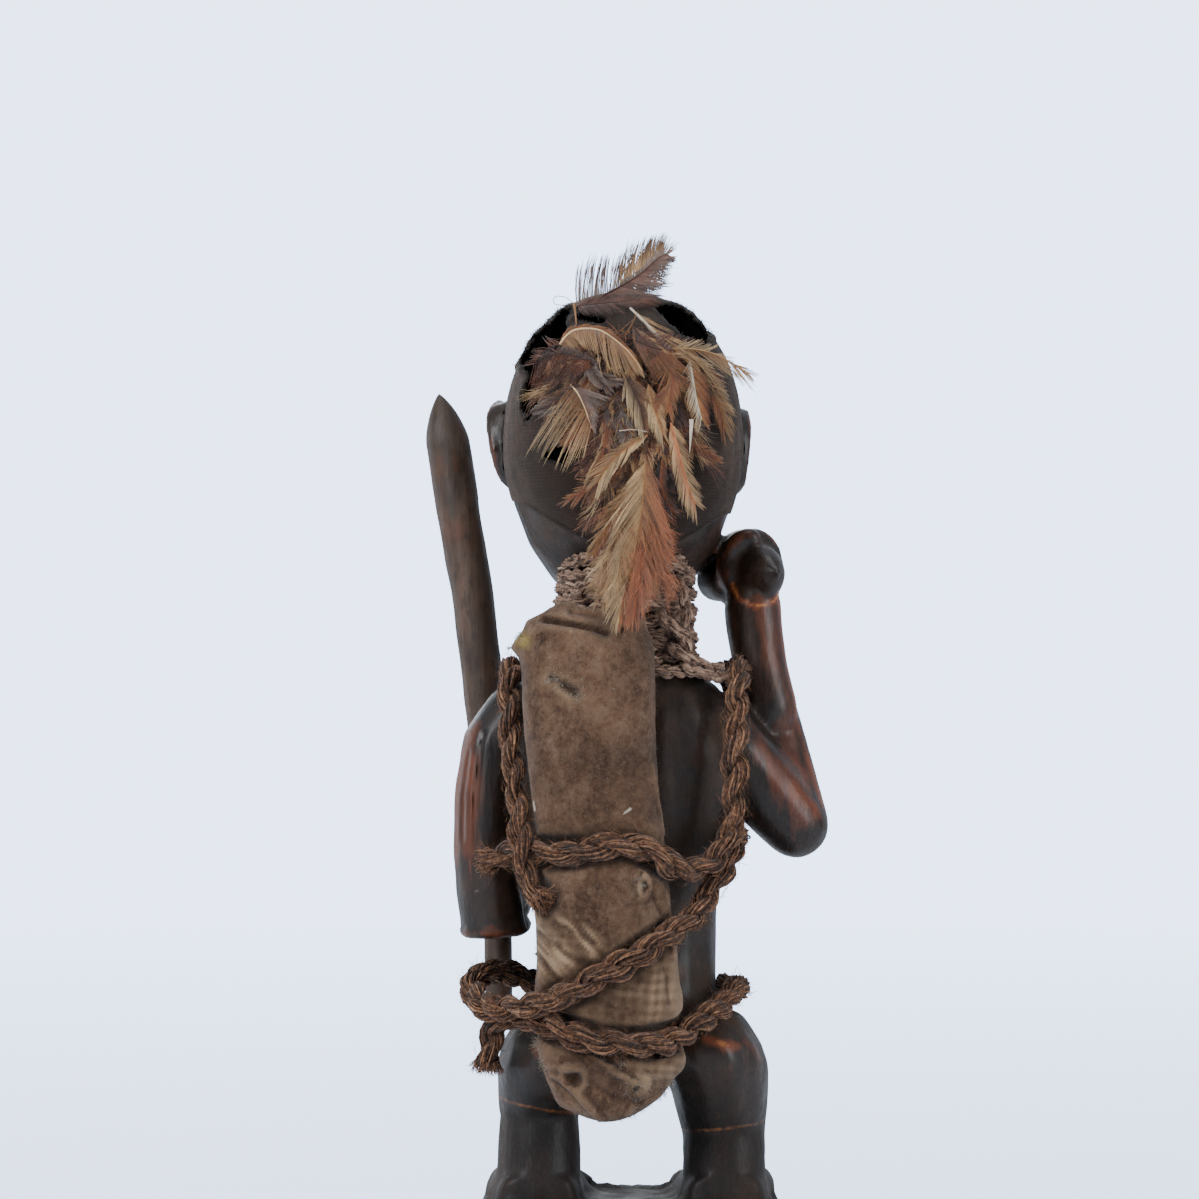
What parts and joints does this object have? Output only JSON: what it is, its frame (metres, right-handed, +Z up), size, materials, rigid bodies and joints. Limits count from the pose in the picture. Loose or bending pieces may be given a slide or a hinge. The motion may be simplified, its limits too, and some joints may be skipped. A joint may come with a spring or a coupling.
{
  "type": "carved wooden figure",
  "caption": "Standing carved wooden figure on a low base, with a stick in one hand, a torn cloth cap with feathers, a wound neck cord and a cloth bundle lashed to its back.",
  "frame": {"origin": "centre of the underside of the low base, on the surface it stands on", "axes": "+Z up along the figure's height, -Y the way the figure faces, +X its left side"},
  "size_m": [0.1632, 0.1314, 0.4033],
  "materials": {
    "carved_wood": "dark, rubbed to a gloss",
    "stick_wood": "matte",
    "cap_cloth": "fine mesh, dusty",
    "feather": "matte",
    "fine_cord": "matte",
    "pouch_cloth": "felted, dusty",
    "fibre_rope": "coarse, matte"
  },
  "bodies": {
    "root": {"figure": "carved_wood", "staff": "stick_wood", "cap": "cap_cloth", "feather_tuft": "feather", "neck_cord": "fine_cord", "bundle": "pouch_cloth", "rope_right_strap": "fibre_rope", "rope_left_strap": "fibre_rope", "rope_waist_lashing": "fibre_rope"}
  },
  "joints": []
}
